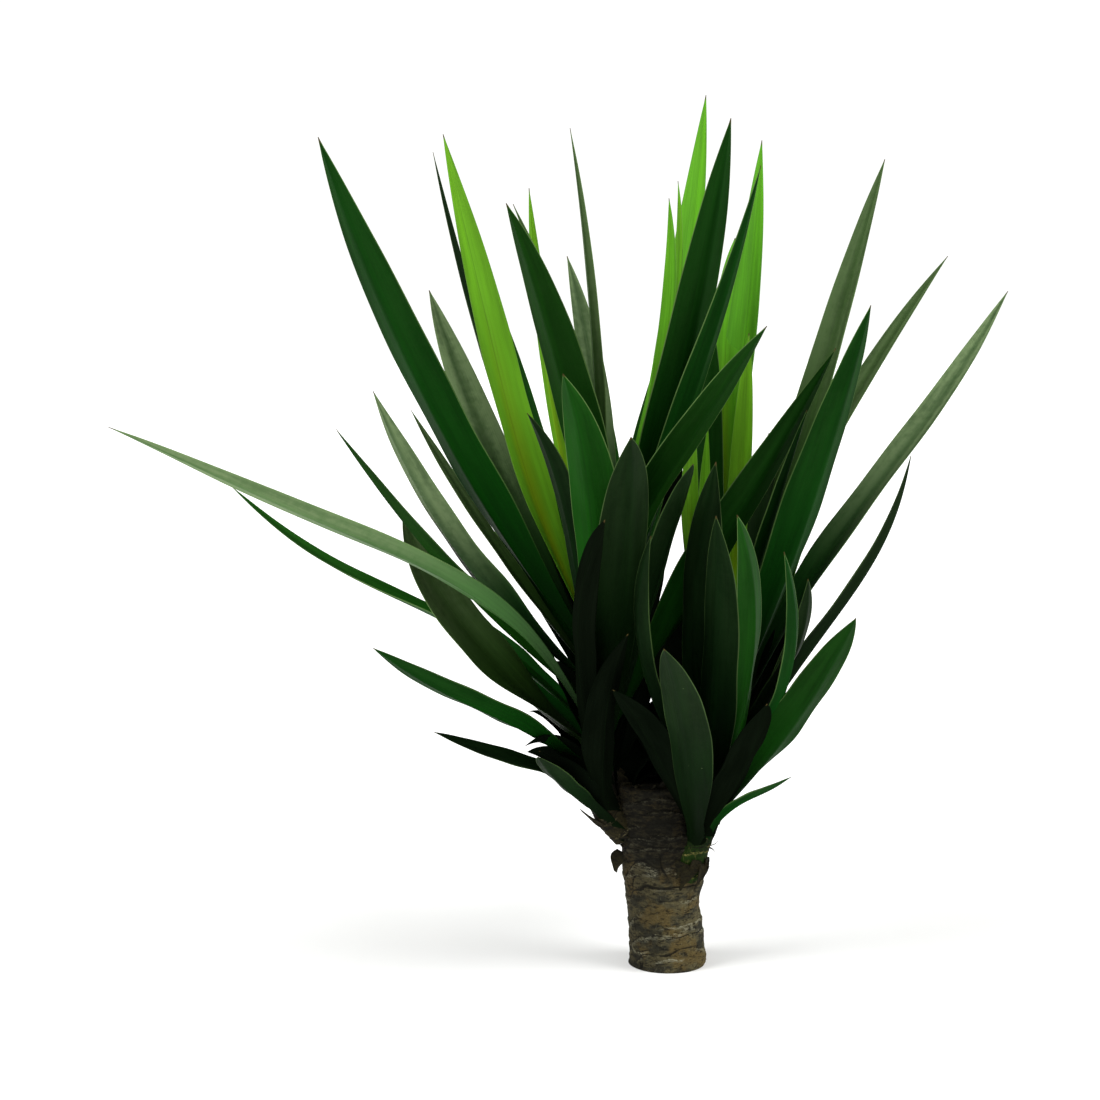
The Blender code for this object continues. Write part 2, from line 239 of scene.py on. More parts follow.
class YuccaLeafSettings(bpy.types.PropertyGroup):
    """Sizes and colours of the leaves."""

    fold: bpy.props.FloatProperty(
        name="Fold", description="Rise of the margins over the midrib, as a share of half the width",
        default=0.50, min=0, max=1, subtype="FACTOR")
    margin: bpy.props.FloatProperty(
        name="Margin Thickness", description="Thickness of a blade at its margins",
        default=0.0009, min=0.0002, max=0.003, unit="LENGTH")
    keel: bpy.props.FloatProperty(
        name="Keel Thickness", description="Thickness of a blade at its midrib",
        default=0.0032, min=0.0005, max=0.008, unit="LENGTH")
    wave: bpy.props.FloatProperty(
        name="Wave", description="How far the margins swing in and out",
        default=0.0014, min=0, max=0.01, unit="LENGTH")
    rings: bpy.props.IntProperty(
        name="Rings", description="Sections along a blade", default=64, min=12, max=200)
    columns: bpy.props.IntProperty(
        name="Columns", description="Points across each face of a blade",
        default=15, min=5, max=41)
    # Dim and Shade are darker copies of the leaf green, for leaves that stand in the shade inside
    # the heads: painted shade.
    dim: colour_property("Dim", "Short leaves deep inside", 9, 15, 8)
    shade: colour_property("Shade", "Oldest leaves, near the cane", 10, 30, 8)
    deep: colour_property("Deep", "Full-grown leaves", 9, 51, 5)
    green: colour_property("Green", "Leaves in full colour", 7, 64, 5)
    olive: colour_property("Olive", "Worn leaves", 34, 62, 20)
    # Bloom and Pale are the leaves that carry most of the wax and the painted sheen.
    bloom: colour_property("Bloom", "Leaves with a grey wax", 18, 54, 12)
    pale: colour_property("Pale", "Leaves with a thick wax", 60, 100, 46)
    # The yellow-green of young leaves, made brighter to stand in for light shining through them:
    # partly painted backlight.
    fresh: colour_property("Fresh", "Young leaves", 90, 152, 28)
    yellow: colour_property("Yellow", "Young leaves along the midrib", 118, 146, 8)
    # The grey of a waxy bloom, which also serves as a painted sheen where light glances off the
    # leaves.
    wax: colour_property("Wax", "The wax on a leaf", 118, 138, 96)
    edge: colour_property("Edge", "The thin pale margin", 104, 134, 76)
    tip: colour_property("Tip", "The dry point", 70, 60, 34)


class YuccaBarkSettings(bpy.types.PropertyGroup):
    """Relief and colours of the cane and the side stems."""

    ledge: bpy.props.FloatProperty(
        name="Ledge", description="How far a leaf scar stands out", default=0.0013, min=0,
        max=0.005, unit="LENGTH")
    crack: bpy.props.FloatProperty(
        name="Crack", description="Depth of the cracks", default=0.0011, min=0, max=0.005,
        unit="LENGTH")
    spacing: bpy.props.FloatProperty(
        name="Scar Spacing", description="Usual distance between leaf scars", default=0.0125,
        min=0.004, max=0.05, unit="LENGTH")
    cork: colour_property("Cork", "Sound bark", 88, 82, 58)
    ochre: colour_property("Ochre", "Fresher bark", 94, 80, 47)
    grey: colour_property("Grey", "Weathered bark", 46, 45, 36)
    # Dark also serves as the painted shade on the cane: near its top, on its left side and next to
    # the scars' lips.
    dark: colour_property("Dark", "Old bark and cracks", 19, 18, 14)
    pale: colour_property("Pale", "Worn lips of the scars", 138, 136, 114)
    shoot: colour_property("Shoot", "Green skin of a side stem", 30, 54, 12)
    cream: colour_property("Cream", "Foot of a side stem", 168, 156, 92)
    crust: colour_property("Crust", "Dried bases of lost leaves", 46, 42, 24)


class YuccaStageSettings(bpy.types.PropertyGroup):
    """The studio."""

    floor: colour_property("Floor", "The floor", 254, 254, 253)
    fill: bpy.props.FloatProperty(
        name="Fill", description="Strength of the pale surroundings", default=0.34, min=0, max=5)
    side: bpy.props.FloatProperty(
        name="Side Light", description="Strength of each side light", default=2.6, min=0, max=20)
    top: bpy.props.FloatProperty(
        name="Top Light", description="Strength of the light from above", default=0.7, min=0,
        max=20)
    softness: bpy.props.FloatProperty(
        name="Softness", description="Angle that each light fills", default=math.radians(36),
        min=0, max=math.pi, subtype="ANGLE", unit="ROTATION")


# ---------------------------------------------------------------- the plant's rule

def from_sight(across, up, depth):
    """The point at this depth that the eye sees at (across, up) in its facing plane."""
    ray = AHEAD * SIGHT + ABOVE * (up - SIGHT_AIM[2])
    ray[0] += across - SIGHT_AIM[0]
    return EYE + ray * (depth - EYE[1]) / ray[1]


def to_sight(point):
    seen = point - EYE
    return SIGHT * np.array([seen[0], seen @ ABOVE]) / (seen @ AHEAD)


def ease(start, end, value):
    share = np.clip((value - start) / (end - start), 0, 1)
    return share * share * (3 - 2 * share)


def smooth_path(points, steps):
    """A Catmull-Rom path through the points."""
    points = np.array(points, float)
    ends = np.vstack([2 * points[0] - points[1], points, 2 * points[-1] - points[-2]])
    path = []
    for a, b, c, d in zip(ends, ends[1:], ends[2:], ends[3:]):
        for t in np.linspace(0, 1, steps, endpoint=False):
            path.append(0.5 * (2 * b + (c - a) * t + (2 * a - 5 * b + 4 * c - d) * t**2
                               + (3 * b - a - 3 * c + d) * t**3))
    return np.array(path + [points[-1]])


STEM_PATHS = {head: smooth_path(points, 6) for head, points in STEMS.items()}


def unit(vector):
    return vector / np.linalg.norm(vector, axis=-1, keepdims=True)


def stem_at(head, height):
    """x, y, height and radius of a side stem at this height."""
    path = STEM_PATHS[head]
    return np.stack([np.interp(height, path[:, 2], path[:, k]) for k in range(4)], axis=-1)


def leaf_path(head, row, shares):
    """Centre points, directions and the way out from the stem."""
    height, half, tip = row[0], row[1], from_sight(*row[2])
    stem = stem_at(head, height) if height else STEM_PATHS[head][-1]
    turn = math.atan2(*(tip - stem[:3])[1::-1])
    outward = np.array([math.cos(turn), math.sin(turn), 0])
    root = (stem[:3] + outward * (stem[3] - ROOT_INSET) if height
            else stem[:3] + (0, 0, HEART_LIFT) + outward)
    middle = from_sight(*half, root[1] + ARCH * (tip[1] - root[1]))
    pull = 2 * middle - (root + tip) / 2
    t = shares[:, None]
    sway = (row[7] if len(row) > 7 else 0) * unit(np.cross(AHEAD, tip - root))
    centres = ((1 - t) ** 2 * root + 2 * t * (1 - t) * pull + t**2 * tip
               + np.sin(2 * math.pi * t) * sway)
    along = unit(2 * (1 - t) * (pull - root) + 2 * t * (tip - pull)
                 + 2 * math.pi * np.cos(2 * math.pi * t) * sway)
    return centres, along, outward


def leaf_frames(head, row, shares):
    """Centre, direction, side, upper face and the way out at each share of the leaf's length."""
    centres, along, outward = leaf_path(head, row, shares)
    chord = unit(centres[-1] - centres[0])
    face = np.cross(chord, np.cross((0, 0, 1.0), outward))
    if face[2] < 0:
        face = -face
    face = unit(face - (along @ face)[:, None] * along)
    side = np.cross(along, face)
    roll = 0.0
    if row[4]:
        k = int(np.argmin(abs(shares - 0.45)))
        course = unit(to_sight(centres[k + 1]) - to_sight(centres[k - 1]))
        across = ABOVE * course[0] - np.array([course[1], 0, 0])
        plain, turned = side[k] @ across, face[k] @ across
        lead = math.atan2(turned, plain)
        swing = math.acos(min(row[4] / row[3] / math.hypot(plain, turned), 1))
        turns = (lead + swing, lead - swing, lead + math.pi + swing, lead + math.pi - swing)
        roll = min(((a + math.pi) % (2 * math.pi) - math.pi for a in turns), key=abs)
    angle = (roll * ease(0.0, 0.4, shares))[:, None]
    return (centres, along, side * np.cos(angle) + face * np.sin(angle),
            face * np.cos(angle) - side * np.sin(angle), outward)


def half_width(row, shares):
    neck = row[6] if len(row) > 6 else NECK
    below = neck + (1 - neck) * np.sin(math.pi / 2 * np.clip(shares / WIDEST, 0, 1)) ** 1.4
    taper = row[8] if len(row) > 8 else TAPER
    above = 1 - np.clip((shares - WIDEST) / (1 - WIDEST), 0, 1) ** taper
    return row[3] / 2 * np.where(shares < WIDEST, below, above)


# ---------------------------------------------------------------- mesh tools

def smooth_noise(points, size, seed):
    """Noise from -1 to 1 at these points, with lumps of about this size."""
    cells = np.asarray(points, float) / size
    base = np.floor(cells).astype(np.int64)
    part = cells - base
    part = part * part * (3 - 2 * part)
    total = np.zeros(cells.shape[:-1])
    for corner in itertools.product((0, 1), repeat=cells.shape[-1]):
        mixed = ((base + corner) * (73856093, 19349663, 83492791)[:cells.shape[-1]]).sum(-1)
        mixed = (mixed + seed * 7919) & 0xFFFFFFFF
        mixed = ((mixed ^ (mixed >> 15)) * 2246822519) & 0xFFFFFFFF
        mixed = ((mixed ^ (mixed >> 13)) * 3266489917) & 0xFFFFFFFF
        value = (mixed ^ (mixed >> 16)) / 2147483647.5 - 1
        total += value * np.where(corner, part, 1 - part).prod(-1)
    return total


def tube_faces(rings, sides):
    """Quads between closed rings, which face out where the rings run anticlockwise, and the two
    faces that close the ends."""
    ring, k = np.meshgrid(np.arange(rings - 1), np.arange(sides), indexing="ij")
    a, b = ring * sides + k, ring * sides + (k + 1) % sides
    quads = [tuple(f) for f in np.stack([a, b, b + sides, a + sides], -1).reshape(-1, 4)]
    last = (rings - 1) * sides
    return quads + [tuple(range(sides))[::-1], tuple(range(last, last + sides))]


def joined(parts):
    """Several (points, faces, values) as one."""
    points, faces, values, first = [], [], {}, 0
    for part_points, part_faces, part_values in parts:
        points.append(part_points)
        faces += [tuple(first + i for i in face) for face in part_faces]
        for key, value in part_values.items():
            values.setdefault(key, []).append(value)
        first += len(part_points)
    return np.concatenate(points), faces, {k: np.concatenate(v) for k, v in values.items()}


def placed(name, data):
    """A new object of the scene that holds this mesh, light or camera."""
    obj = bpy.data.objects.new(name, data)
    bpy.context.scene.collection.objects.link(obj)
    return obj


def add_piece(name, shape, materials, nodes, choice=None):
    """A smooth mesh piece with its values stored on its points, riding on the plant."""
    points, faces, values = shape
    mesh = bpy.data.meshes.new(name)
    mesh.from_pydata(np.asarray(points) * MM, [], faces)
    for key, value in values.items():
        stored = mesh.attributes.new(key, "FLOAT", "POINT")
        stored.data.foreach_set("value", np.asarray(value, np.float32))
    for made in materials:
        mesh.materials.append(made)
    if choice is not None:
        mesh.polygons.foreach_set("material_index", choice)
    mesh.validate()
    mesh.shade_smooth()
    obj = placed(name, mesh)
    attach(obj, "root")
    if nodes:
        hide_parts(*nodes)
    return obj


# ---------------------------------------------------------------- leaves

def fine_blade(head, row, settings, seed):
    """One leaf as (points, faces, values): a folded blade with thin waving margins, whose foot
    wraps round its stem."""
    rings, columns = settings.rings, settings.columns
    shares = np.linspace(0, 1, rings) ** 0.94
    centres, along, side, face, outward = leaf_frames(head, row, shares)
    run = np.concatenate([[0], np.cumsum(np.linalg.norm(np.diff(centres, axis=0), axis=1))])
    half = np.maximum(half_width(row, shares), 0.35)[:, None]
    across = np.sin(np.linspace(-math.pi / 2, math.pi / 2, columns))[None, :]
    flat = abs(across)

    # A rounded fold, deeper towards the foot, and margins that swing and curl a little.
    fold = settings.fold * (1.15 - 0.5 * ease(0.1, 0.9, shares))[:, None]
    lift = fold * half * (np.sqrt(flat**2 + 0.004) - 0.063)
    lift -= 0.10 * fold * half * flat**3
    lift -= (0.68 * fold - 0.18) * half  # the margins stay where the plain blade has them
    wide = np.minimum(half / 20, 1.2)
    swing = settings.wave / MM * wide * flat**2 * np.sin(math.pi * shares)[:, None]
    for turns, size in ((2.3, 0.6), (4.1, 0.4)):
        phase = seed * 2.4 + (across > 0) * 2.1 + turns
        lift += swing * size * np.sin(2 * math.pi * turns * shares[:, None] + phase)

    taper = (1 - 0.72 * ease(0.55, 1.0, shares))[:, None]
    keel = settings.keel / MM * (0.55 + 0.45 * np.minimum(half / 22, 1)) * taper
    margin = settings.margin / MM * taper
    thick = margin + (keel - margin) * (1 - flat) ** 1.6
    thick = np.minimum(thick, 1.1 * half)
    ribs = 0.10 * np.cos(across * half * 2.2) * (1 - flat) ** 0.5  # faint ribs along the blade

    def surface(sign):
        out = lift + sign * thick * (0.35 if sign > 0 else 0.65) + sign * ribs
        return (centres[:, None] + side[:, None] * (half * across)[..., None]
                + face[:, None] * out[..., None])

    upper, lower = surface(1), surface(-1)
    if row[0]:
        wrap = 1 - ease(0.0, 27.0, run)
        perpendicular = np.array([-outward[1], outward[0], 0])
        spread = min(1.15, 0.5 * row[3] / 14)
        angle = across[0] * spread * np.sign(side[0] @ perpendicular)
        way = (outward * np.cos(angle)[:, None] + perpendicular * np.sin(angle)[:, None])
        height = row[0] - 7.0 + 0.85 * run[:, None] - 4.0 * flat**2
        stem = stem_at(head, height)
        for sign, grid in ((1, upper), (-1, lower)):
            gap = 1.3 + 0.03 * run[:, None] - sign * thick * 0.5
            clasp = stem[..., :3] + way[None] * (stem[..., 3] + gap)[..., None]
            clasp[..., 2] = height
            grid += (clasp - grid) * wrap[:, None, None]

    ring = np.concatenate([upper, lower[:, ::-1]], axis=1)
    sides = 2 * columns
    faces = tube_faces(rings, sides)
    column = np.concatenate([across[0], across[0][::-1]])
    values = {
        "across": np.tile(column, rings),
        "along": np.repeat(shares, sides),
        "own": np.full(rings * sides, (seed * 0.6180339887) % 1),
        "half": np.repeat(half[:, 0], sides),
    }
    points = ring.reshape(-1, 3)
    if np.einsum("ij,ij->", np.cross(points[1:2] - points[0:1], along[:1]), face[:1]) < 0:
        faces = [f[::-1] for f in faces]
    return points, faces, values


# ---------------------------------------------------------------- materials

class Nodes:
    """Short ways to place and link the nodes of one tree."""

    def __init__(self, tree):
        self.tree = tree

    def new(self, kind, inputs=(), **settings):
        node = self.tree.nodes.new("ShaderNode" + kind)
        for key, value in settings.items():
            setattr(node, key, value)
        for key, value in dict(inputs).items():
            self.put(node.inputs[key], value)
        return node

    def put(self, socket, value):
        if isinstance(value, bpy.types.NodeSocket):
            self.tree.links.new(value, socket)
        elif isinstance(value, (tuple, list)) and len(value) == 3 and socket.type == "RGBA":
            socket.default_value = (*value, 1)
        else:
            socket.default_value = value

    def math(self, operation, *values):
        node = self.new("Math", operation=operation)
        for k, value in enumerate(values):
            self.put(node.inputs[k], value)
        return node.outputs[0]

    def times(self, *values):
        return self.math("MULTIPLY", *values)

    def value(self, name):
        return self.new("Attribute", attribute_name=name).outputs["Fac"]

    def steps(self, value, low, high, start=0.0, end=1.0):
        """A smooth step from start to end as value runs from low to high."""
        node = self.new("MapRange", {"Value": value, "From Min": low, "From Max": high,
                                     "To Min": start, "To Max": end},
                        interpolation_type="SMOOTHSTEP")
        return node.outputs[0]

    def noise(self, vector, scale, detail=3.0, rough=0.55):
        node = self.new("TexNoise", {"Vector": vector, "Scale": scale, "Detail": detail,
                                     "Roughness": rough})
        return node.outputs["Fac"]

    def mix(self, share, first, second, blend="MIX"):
        node = self.new("Mix", data_type="RGBA", blend_type=blend)
        for socket, value in ((0, share), (6, first), (7, second)):
            self.put(node.inputs[socket], value)
        return node.outputs[2]

    def vector(self, x, y, z):
        return self.new("CombineXYZ", {"X": x, "Y": y, "Z": z}).outputs[0]


def new_group(name, inputs, outputs):
    """An empty node group with these sockets, and its Nodes, input sockets and output sockets."""
    tree = bpy.data.node_groups.new(name, "ShaderNodeTree")
    kinds = {"colour": "NodeSocketColor", "value": "NodeSocketFloat"}
    for socket, kind in inputs.items():
        tree.interface.new_socket(name=socket, in_out="INPUT", socket_type=kinds[kind])
    for socket, kind in outputs.items():
        tree.interface.new_socket(name=socket, in_out="OUTPUT", socket_type=kinds[kind])
    start, end = tree.nodes.new("NodeGroupInput"), tree.nodes.new("NodeGroupOutput")
    return tree, Nodes(tree), start.outputs, end.inputs


def blade_group():
    """Colour, roughness and height over a leaf, from its stored across, along and half width."""
    tree, n, given, out = new_group(
        "leaf_blade",
        {"Colour": "colour", "Wax": "colour", "Edge": "colour", "Tip": "colour",
         "Yellow": "colour", "Wax Amount": "value", "Root Shade": "value",
         "Yellowing": "value", "Margin": "value"},
        {"Colour": "colour", "Roughness": "value", "Height": "value"})
    across, along, own, half = (n.value(key) for key in ("across", "along", "own", "half"))
    away = n.math("ABSOLUTE", across)
    spread = n.times(across, half)
    fine = n.noise(n.vector(n.times(spread, 1.1), n.times(along, 2.2), n.times(own, 40.0)),
                   1.0, 2.0)
    broad = n.noise(n.vector(n.times(across, 1.6), n.times(along, 3.2), n.times(own, 90.0)),
                    1.0, 3.0)
    mottle = n.noise(n.new("TexCoord").outputs["Object"], 130.0, 4.0)

    body = n.new("HueSaturation", {
        "Hue": n.steps(own, 0.0, 1.0, 0.492, 0.508), "Saturation": 1.0,
        "Value": n.times(n.steps(broad, 0.3, 0.7, 0.80, 1.2),
                        n.steps(fine, 0.35, 0.65, 0.93, 1.08)),
        "Color": given["Colour"]}).outputs[0]
    gold = n.times(n.steps(away, 0.02, 0.62, 1.0, 0.0),
                   n.steps(n.math("ADD", along, n.times(fine, 0.25)), 0.30, 0.85, 1.0, 0.0))
    body = n.mix(n.times(gold, given["Yellowing"]), body, given["Yellow"])
    # A faint dark line along the fold: painted shade in its crease.
    body = n.mix(n.steps(away, 0.0, 0.05, 0.22, 0.0), body, (0.004, 0.012, 0.003))
    # Grey wax and painted sheen: paler away from the root and the fold, where light glances off the
    # outer blade, and rubbed off in patches.
    patch = n.math("ADD", n.times(broad, 0.65), n.times(mottle, 0.35))
    wax = n.times(n.times(n.steps(along, 0.28, 0.70), n.steps(patch, 0.34, 0.60, 0.45, 1.0)),
                  n.steps(away, 0.04, 0.45, 0.5, 1.0))
    wax = n.times(wax, given["Wax Amount"])
    body = n.mix(n.times(wax, 0.85), body, given["Wax"])
    # Old light specks.
    spots = n.new("TexVoronoi", {"Vector": n.new("TexCoord").outputs["Object"], "Scale": 75.0,
                                 "Randomness": 1.0})
    chosen = n.math("GREATER_THAN", n.new("SeparateColor", {"Color": spots.outputs["Color"]})
                    .outputs[0], 0.94)
    speck = n.times(n.steps(spots.outputs["Distance"], 0.03, 0.07, 1.0, 0.0), chosen)
    body = n.mix(n.times(speck, 0.3), body, given["Wax"])
    # The root stands in its own shade, the margin is pale and the point is dry.
    shade = n.times(n.steps(along, 0.03, 0.40, 1.0, 0.0), given["Root Shade"])
    body = n.mix(shade, body, n.mix(0.86, body, (0.0015, 0.003, 0.001)))
    inside = n.times(n.math("SUBTRACT", 1.0, away), half)
    rim = n.times(n.steps(inside, 0.25, 0.75, 1.0, 0.0), n.steps(along, 0.12, 0.55, 0.0, 0.9))
    rim = n.times(rim, n.steps(broad, 0.35, 0.55, 0.5, 1.0))
    body = n.mix(n.times(rim, given["Margin"]), body, given["Edge"])
    body = n.mix(n.steps(along, 0.985, 0.997), body, given["Tip"])
    n.put(out["Colour"], body)
    n.put(out["Roughness"], n.math("ADD", n.steps(fine, 0.3, 0.7, 0.48, 0.58),
                                   n.times(wax, 0.12)))
    n.put(out["Height"], n.math("ADD", n.times(fine, 0.8), n.times(mottle, 0.25)))
    return tree


def bark_group():
    """Colour, roughness and height of bark, from the lips and creases stored on its points."""
    tree, n, given, out = new_group(
        "bark_skin",
        {"Cork": "colour", "Ochre": "colour", "Grey": "colour", "Dark": "colour",
         "Pale": "colour", "Age": "value"},
        {"Colour": "colour", "Roughness": "value", "Height": "value"})
    place = n.new("TexCoord").outputs["Object"]
    lip, crease = n.value("lip"), n.value("crease")
    flat = n.new("Mapping", {"Vector": place, "Scale": (1.0, 1.0, 2.6)}).outputs[0]
    tall = n.new("Mapping", {"Vector": place, "Scale": (1.0, 1.0, 0.35)}).outputs[0]
    cloud, grain = n.noise(flat, 42.0, 5.0, 0.6), n.noise(flat, 420.0, 4.0, 0.65)
    fibre = n.noise(tall, 640.0, 3.0)
    patch, blotch = n.noise(place, 34.0, 3.0, 0.6), n.noise(flat, 150.0, 4.0, 0.7)
    body = n.mix(n.steps(cloud, 0.40, 0.58), given["Grey"], given["Cork"])
    body = n.mix(n.steps(patch, 0.50, 0.62, 0.0, 0.8), body, given["Ochre"])
    body = n.mix(n.steps(blotch, 0.50, 0.64, 0.0, 0.80), body, given["Dark"])
    body = n.mix(n.steps(grain, 0.48, 0.75, 0.0, 0.55), body, given["Dark"])
    body = n.mix(n.steps(fibre, 0.55, 0.8, 0.0, 0.22), body, given["Pale"])
    plates = n.new("TexVoronoi", {"Vector": flat, "Scale": 105.0}, feature="DISTANCE_TO_EDGE")
    seam = n.steps(plates.outputs["Distance"], 0.0, 0.07, 1.0, 0.0)
    broken = n.times(seam, n.steps(cloud, 0.42, 0.62))
    body = n.mix(n.times(broken, 0.45), body, given["Dark"])
    worn = n.times(n.steps(grain, 0.36, 0.60), n.steps(blotch, 0.58, 0.44))
    body = n.mix(n.times(n.steps(lip, 0.25, 0.95), worn), body, given["Pale"])
    # Darker next to each scar's lip and in the cracks: painted shade by the ledges, and dark cracks.
    body = n.mix(n.steps(crease, 0.25, 0.8, 0.0, 0.92), body, given["Dark"])
    # The darkening input takes the bark towards Dark in blotches: dark with age, and on the cane
    # painted shade.
    darker_bark = n.mix(n.steps(blotch, 0.40, 0.58, 0.84, 1.0), body, given["Dark"])
    body = n.mix(given["Age"], body, darker_bark)
    n.put(out["Colour"], body)
    n.put(out["Roughness"], n.steps(grain, 0.2, 0.8, 0.72, 0.95))
    rough = n.math("ADD", n.times(grain, 0.7), n.times(fibre, 0.4))
    n.put(out["Height"], n.math("SUBTRACT", rough, n.times(broken, 0.9)))
    return tree


def group_named(name, make):
    return bpy.data.node_groups.get(name) or make()


def principled(name, roughness, specular):
    """An empty material, its Nodes and its Principled shader."""
    made = bpy.data.materials.new(name)
    made.use_nodes = True
    n = Nodes(made.node_tree)
    shader = made.node_tree.nodes["Principled BSDF"]
    shader.inputs["Roughness"].default_value = roughness
    shader.inputs["Specular IOR Level"].default_value = specular
    return made, n, shader


def place_group(n, tree, **values):
    node = n.new("Group", node_tree=tree)
    for key, value in values.items():
        n.put(node.inputs[key.replace("_", " ")], value)
    return node


def dress(n, shader, group, distance):
    """Feeds a pattern group into the shader, its height through a bump of this many metres."""
    n.put(shader.inputs["Base Color"], group.outputs["Colour"])
    n.put(shader.inputs["Roughness"], group.outputs["Roughness"])
    bump = n.new("Bump", {"Strength": 0.6, "Distance": distance,
                          "Height": group.outputs["Height"]})
    n.put(shader.inputs["Normal"], bump.outputs["Normal"])


def leaf_material(finish):
    name = finish + "_leaf"
    if name in bpy.data.materials:
        return bpy.data.materials[name]
    settings = bpy.context.scene.yucca_leaves
    wax, shade, yellowing, margin, shine = FINISHES[finish]
    made, n, shader = principled(name, 0.4, shine)
    group = place_group(n, group_named("leaf_blade", blade_group),
                        Colour=tuple(getattr(settings, finish)), Wax=tuple(settings.wax),
                        Edge=tuple(settings.edge), Tip=tuple(settings.tip),
                        Yellow=tuple(settings.yellow), Wax_Amount=wax, Root_Shade=shade,
                        Yellowing=yellowing, Margin=margin)
    dress(n, shader, group, 0.0003)
    return made


def leafage(head, rows, settings, first):
    """Several leaves as one shape, their materials, and which of them each face takes."""
    parts, materials, choice = [], [], []
    for number, row in enumerate(rows, first + 20 * (head == "right")):
        part = fine_blade(head, row, settings, number)
        made = leaf_material(row[5])
        if made not in materials:
            materials.append(made)
        parts.append(part)
        choice += [materials.index(made)] * len(part[1])
    return joined(parts), materials, choice


def bark_material(name, colours, age):
    """The last argument is a function that puts the nodes for how far the bark is darkened: by age,
    and on the cane by painted shade.
    """
    settings = bpy.context.scene.yucca_bark
    made, n, shader = principled(name, 0.85, 0.06)
    group = place_group(n, group_named("bark_skin", bark_group), Age=age(n),
                        **{key: tuple(getattr(settings, value)) for key, value in colours.items()})
    dress(n, shader, group, 0.0009)
    return made


# ---------------------------------------------------------------- bark and stems

def scar_relief(angle, height, radius, spacing, span, seed):
    """How far leaf scars and cracks move a bark's points, with its lips and creases."""
    place = np.stack([np.cos(angle) * radius, np.sin(angle) * radius, height], axis=-1)
    lip, crease, pillow = (np.zeros(angle.shape) for _ in range(3))
    inside = ease(span[0], span[0] + 4, height) * ease(span[1], span[1] - 4, height)
    # Two sets of scars, the second wider apart and more slanting.
    for wide, tilt, strength in ((1.0, 0.25, 1.0), (1.9, 0.9, 0.8)):
        step = spacing * wide
        level = (height / step + tilt * np.sin(angle + seed)
                 + 0.50 * smooth_noise(place * (1, 1, 0.6), radius * 0.9, seed + 10)
                 + 0.16 * smooth_noise(place, radius * 0.3, seed + 11))
        number = np.floor(level)
        off = level - number
        own = np.stack([place[..., 0], place[..., 1], number * radius * 5], axis=-1)
        present = strength * inside * ease(-0.30, 0.35, smooth_noise(own, radius * 0.9, seed + 12))
        lip = np.maximum(lip, present * np.exp(-((1 - off) / 0.30) ** 2))
        crease = np.maximum(crease, present * np.exp(-(off / 0.13) ** 2))
        pillow += present * (np.sin(math.pi * off) ** 0.7 - 0.6) * 0.7
        seed += 20
    ridged = 1 - abs(smooth_noise(place * (1, 1, 0.3), radius * 0.3, seed + 7))
    crack = ease(0.93, 1.0, ridged) * ease(0.1, 0.6, smooth_noise(place, radius * 0.6, seed + 8))
    lumps = (pillow + 0.6 * smooth_noise(place, radius * 0.45, seed + 1)
             + 0.35 * smooth_noise(place, radius * 0.14, seed + 2)
             + 0.20 * smooth_noise(place, radius * 0.055, seed + 3))
    return lip, np.maximum(crease, crack), crack, lumps


def cane_at(height):
    """The cane's x and radius at this height."""
    rows = smooth_path([(x, 0, level, radius) for level, x, radius in CANE], 2)
    rows[0, :2] = rows[1, :2] = 0
    return (np.interp(height, rows[:, 2], rows[:, 0]), np.interp(height, rows[:, 2], rows[:, 3]))


def cane_shape(settings):
    """The cane with its leaf scars, cracks and sawn top, as (points, faces, values)."""
    around, levels, top = 288, 210, CANE[-1][0]
    heights = np.linspace(0, top, levels)
    angle, height = np.meshgrid(np.linspace(0, 2 * math.pi, around, endpoint=False), heights)
    x, radius = cane_at(height)
    spacing = settings.spacing / MM
    lip, crease, crack, lumps = scar_relief(angle, height, CANE_RADIUS, spacing, (4, top - 6), 11)
    settle = ease(0, 3, height)
    moved = settings.ledge / MM * (lip - 0.55) - settings.crack / MM * crack + lumps
    # The bark swells under the right shoot.
    moved += (1.0 + 3.5 * ease(62, 90, height) * ease(126, 110, height)
              * np.exp(-(np.sin((angle + 0.3) / 2) / 0.28) ** 2))
    x = x + 1.0 * settle
    radius = radius + moved * settle - 1.6 * ease(top - 2.5, top, height)
    points = np.stack([x + radius * np.cos(angle), radius * np.sin(angle), height], axis=-1)
    points[-1, :, 2] += 0.5 * smooth_noise(points[-1] * (1, 1, 0), 9, 5)
    rings = [points.reshape(-1, 3)]
    centre = np.array([x[-1, 0], 0, top])
    for share in (0.985, 0.95, 0.88, 0.78, 0.66, 0.52, 0.38, 0.24, 0.1):
        ring = centre + (points[-1] - centre) * share
        ring[:, 2] = top - 1.2 * (1 - share) ** 0.5 + 0.45 * smooth_noise(ring, 7, 6)
        rings.append(ring)
    bare = np.zeros((len(rings) - 1) * around)
    return np.concatenate(rings), tube_faces(levels + len(rings) - 1, around), {
        "lip": np.concatenate([lip.ravel(), bare]),
        "crease": np.concatenate([crease.ravel(), bare])}


